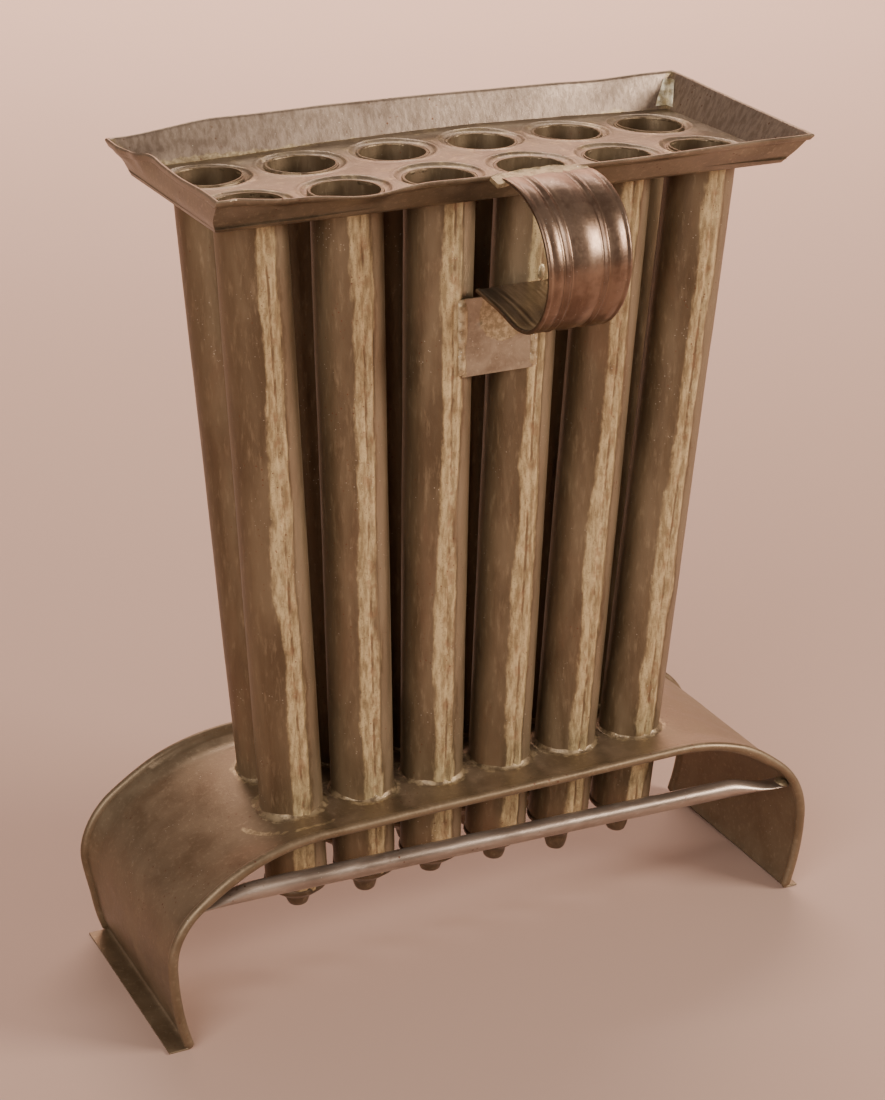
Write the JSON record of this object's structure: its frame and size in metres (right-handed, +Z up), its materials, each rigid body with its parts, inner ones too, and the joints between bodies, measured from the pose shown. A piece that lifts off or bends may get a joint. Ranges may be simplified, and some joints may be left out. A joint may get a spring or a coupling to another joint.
{
  "type": "candle mold",
  "caption": "Tinplate candle mold: tapered tubes soldered between a flared pouring tray and an arched base, with a ribbed strap handle.",
  "frame": {"origin": "on the table, under the middle of the whole mold with its handle", "axes": "+X along the tray to the right when the handle faces the viewer, +Y away from the handle, +Z up"},
  "size_m": [0.2331, 0.1131, 0.271],
  "materials": {
    "tube_tin": "aged tinplate, dull olive-brown patina with pale solder smears along the lap seam",
    "tip_tin": "dark aged tinplate",
    "tray_tin": "aged tinplate, mauve-grey sheen inside the back wall",
    "arch_tin": "aged tinplate, brown patina",
    "wire_iron": "dark iron wire",
    "rod_tin": "handled tinplate, smooth grey-brown",
    "bracket_tin": "aged tinplate with pale tinning",
    "handle_tin": "handled tinplate, red-brown and glossy",
    "solder": "pale khaki lead-tin solder with bright spots"
  },
  "bodies": {
    "root": {"tube_front_1": "tube_tin", "tube_front_2": "tube_tin", "tube_front_3": "tube_tin", "tube_front_4": "tube_tin", "tube_front_5": "tube_tin", "tube_front_6": "tube_tin", "tip_front_1": "tip_tin", "tip_front_2": "tip_tin", "tip_front_3": "tip_tin", "tip_front_4": "tip_tin", "tip_front_5": "tip_tin", "tip_front_6": "tip_tin", "tube_back_1": "tube_tin", "tube_back_2": "tube_tin", "tube_back_3": "tube_tin", "tube_back_4": "tube_tin", "tube_back_5": "tube_tin", "tube_back_6": "tube_tin", "tip_back_1": "tip_tin", "tip_back_2": "tip_tin", "tip_back_3": "tip_tin", "tip_back_4": "tip_tin", "tip_back_5": "tip_tin", "tip_back_6": "tip_tin", "tray_pan": "tray_tin", "arch_base": "arch_tin", "edge_wire_front": "wire_iron", "edge_wire_back": "wire_iron", "brace_rod_front": "rod_tin", "brace_rod_back": "rod_tin", "handle_bracket": "bracket_tin", "handle_strap": "handle_tin", "solder_tray_front": "solder", "solder_tray_back": "solder", "solder_base_front": "solder", "solder_base_back": "solder", "solder_tray_corners": "solder", "solder_handle_rim": "solder", "solder_bracket": "solder", "solder_rods": "solder"}
  },
  "joints": []
}
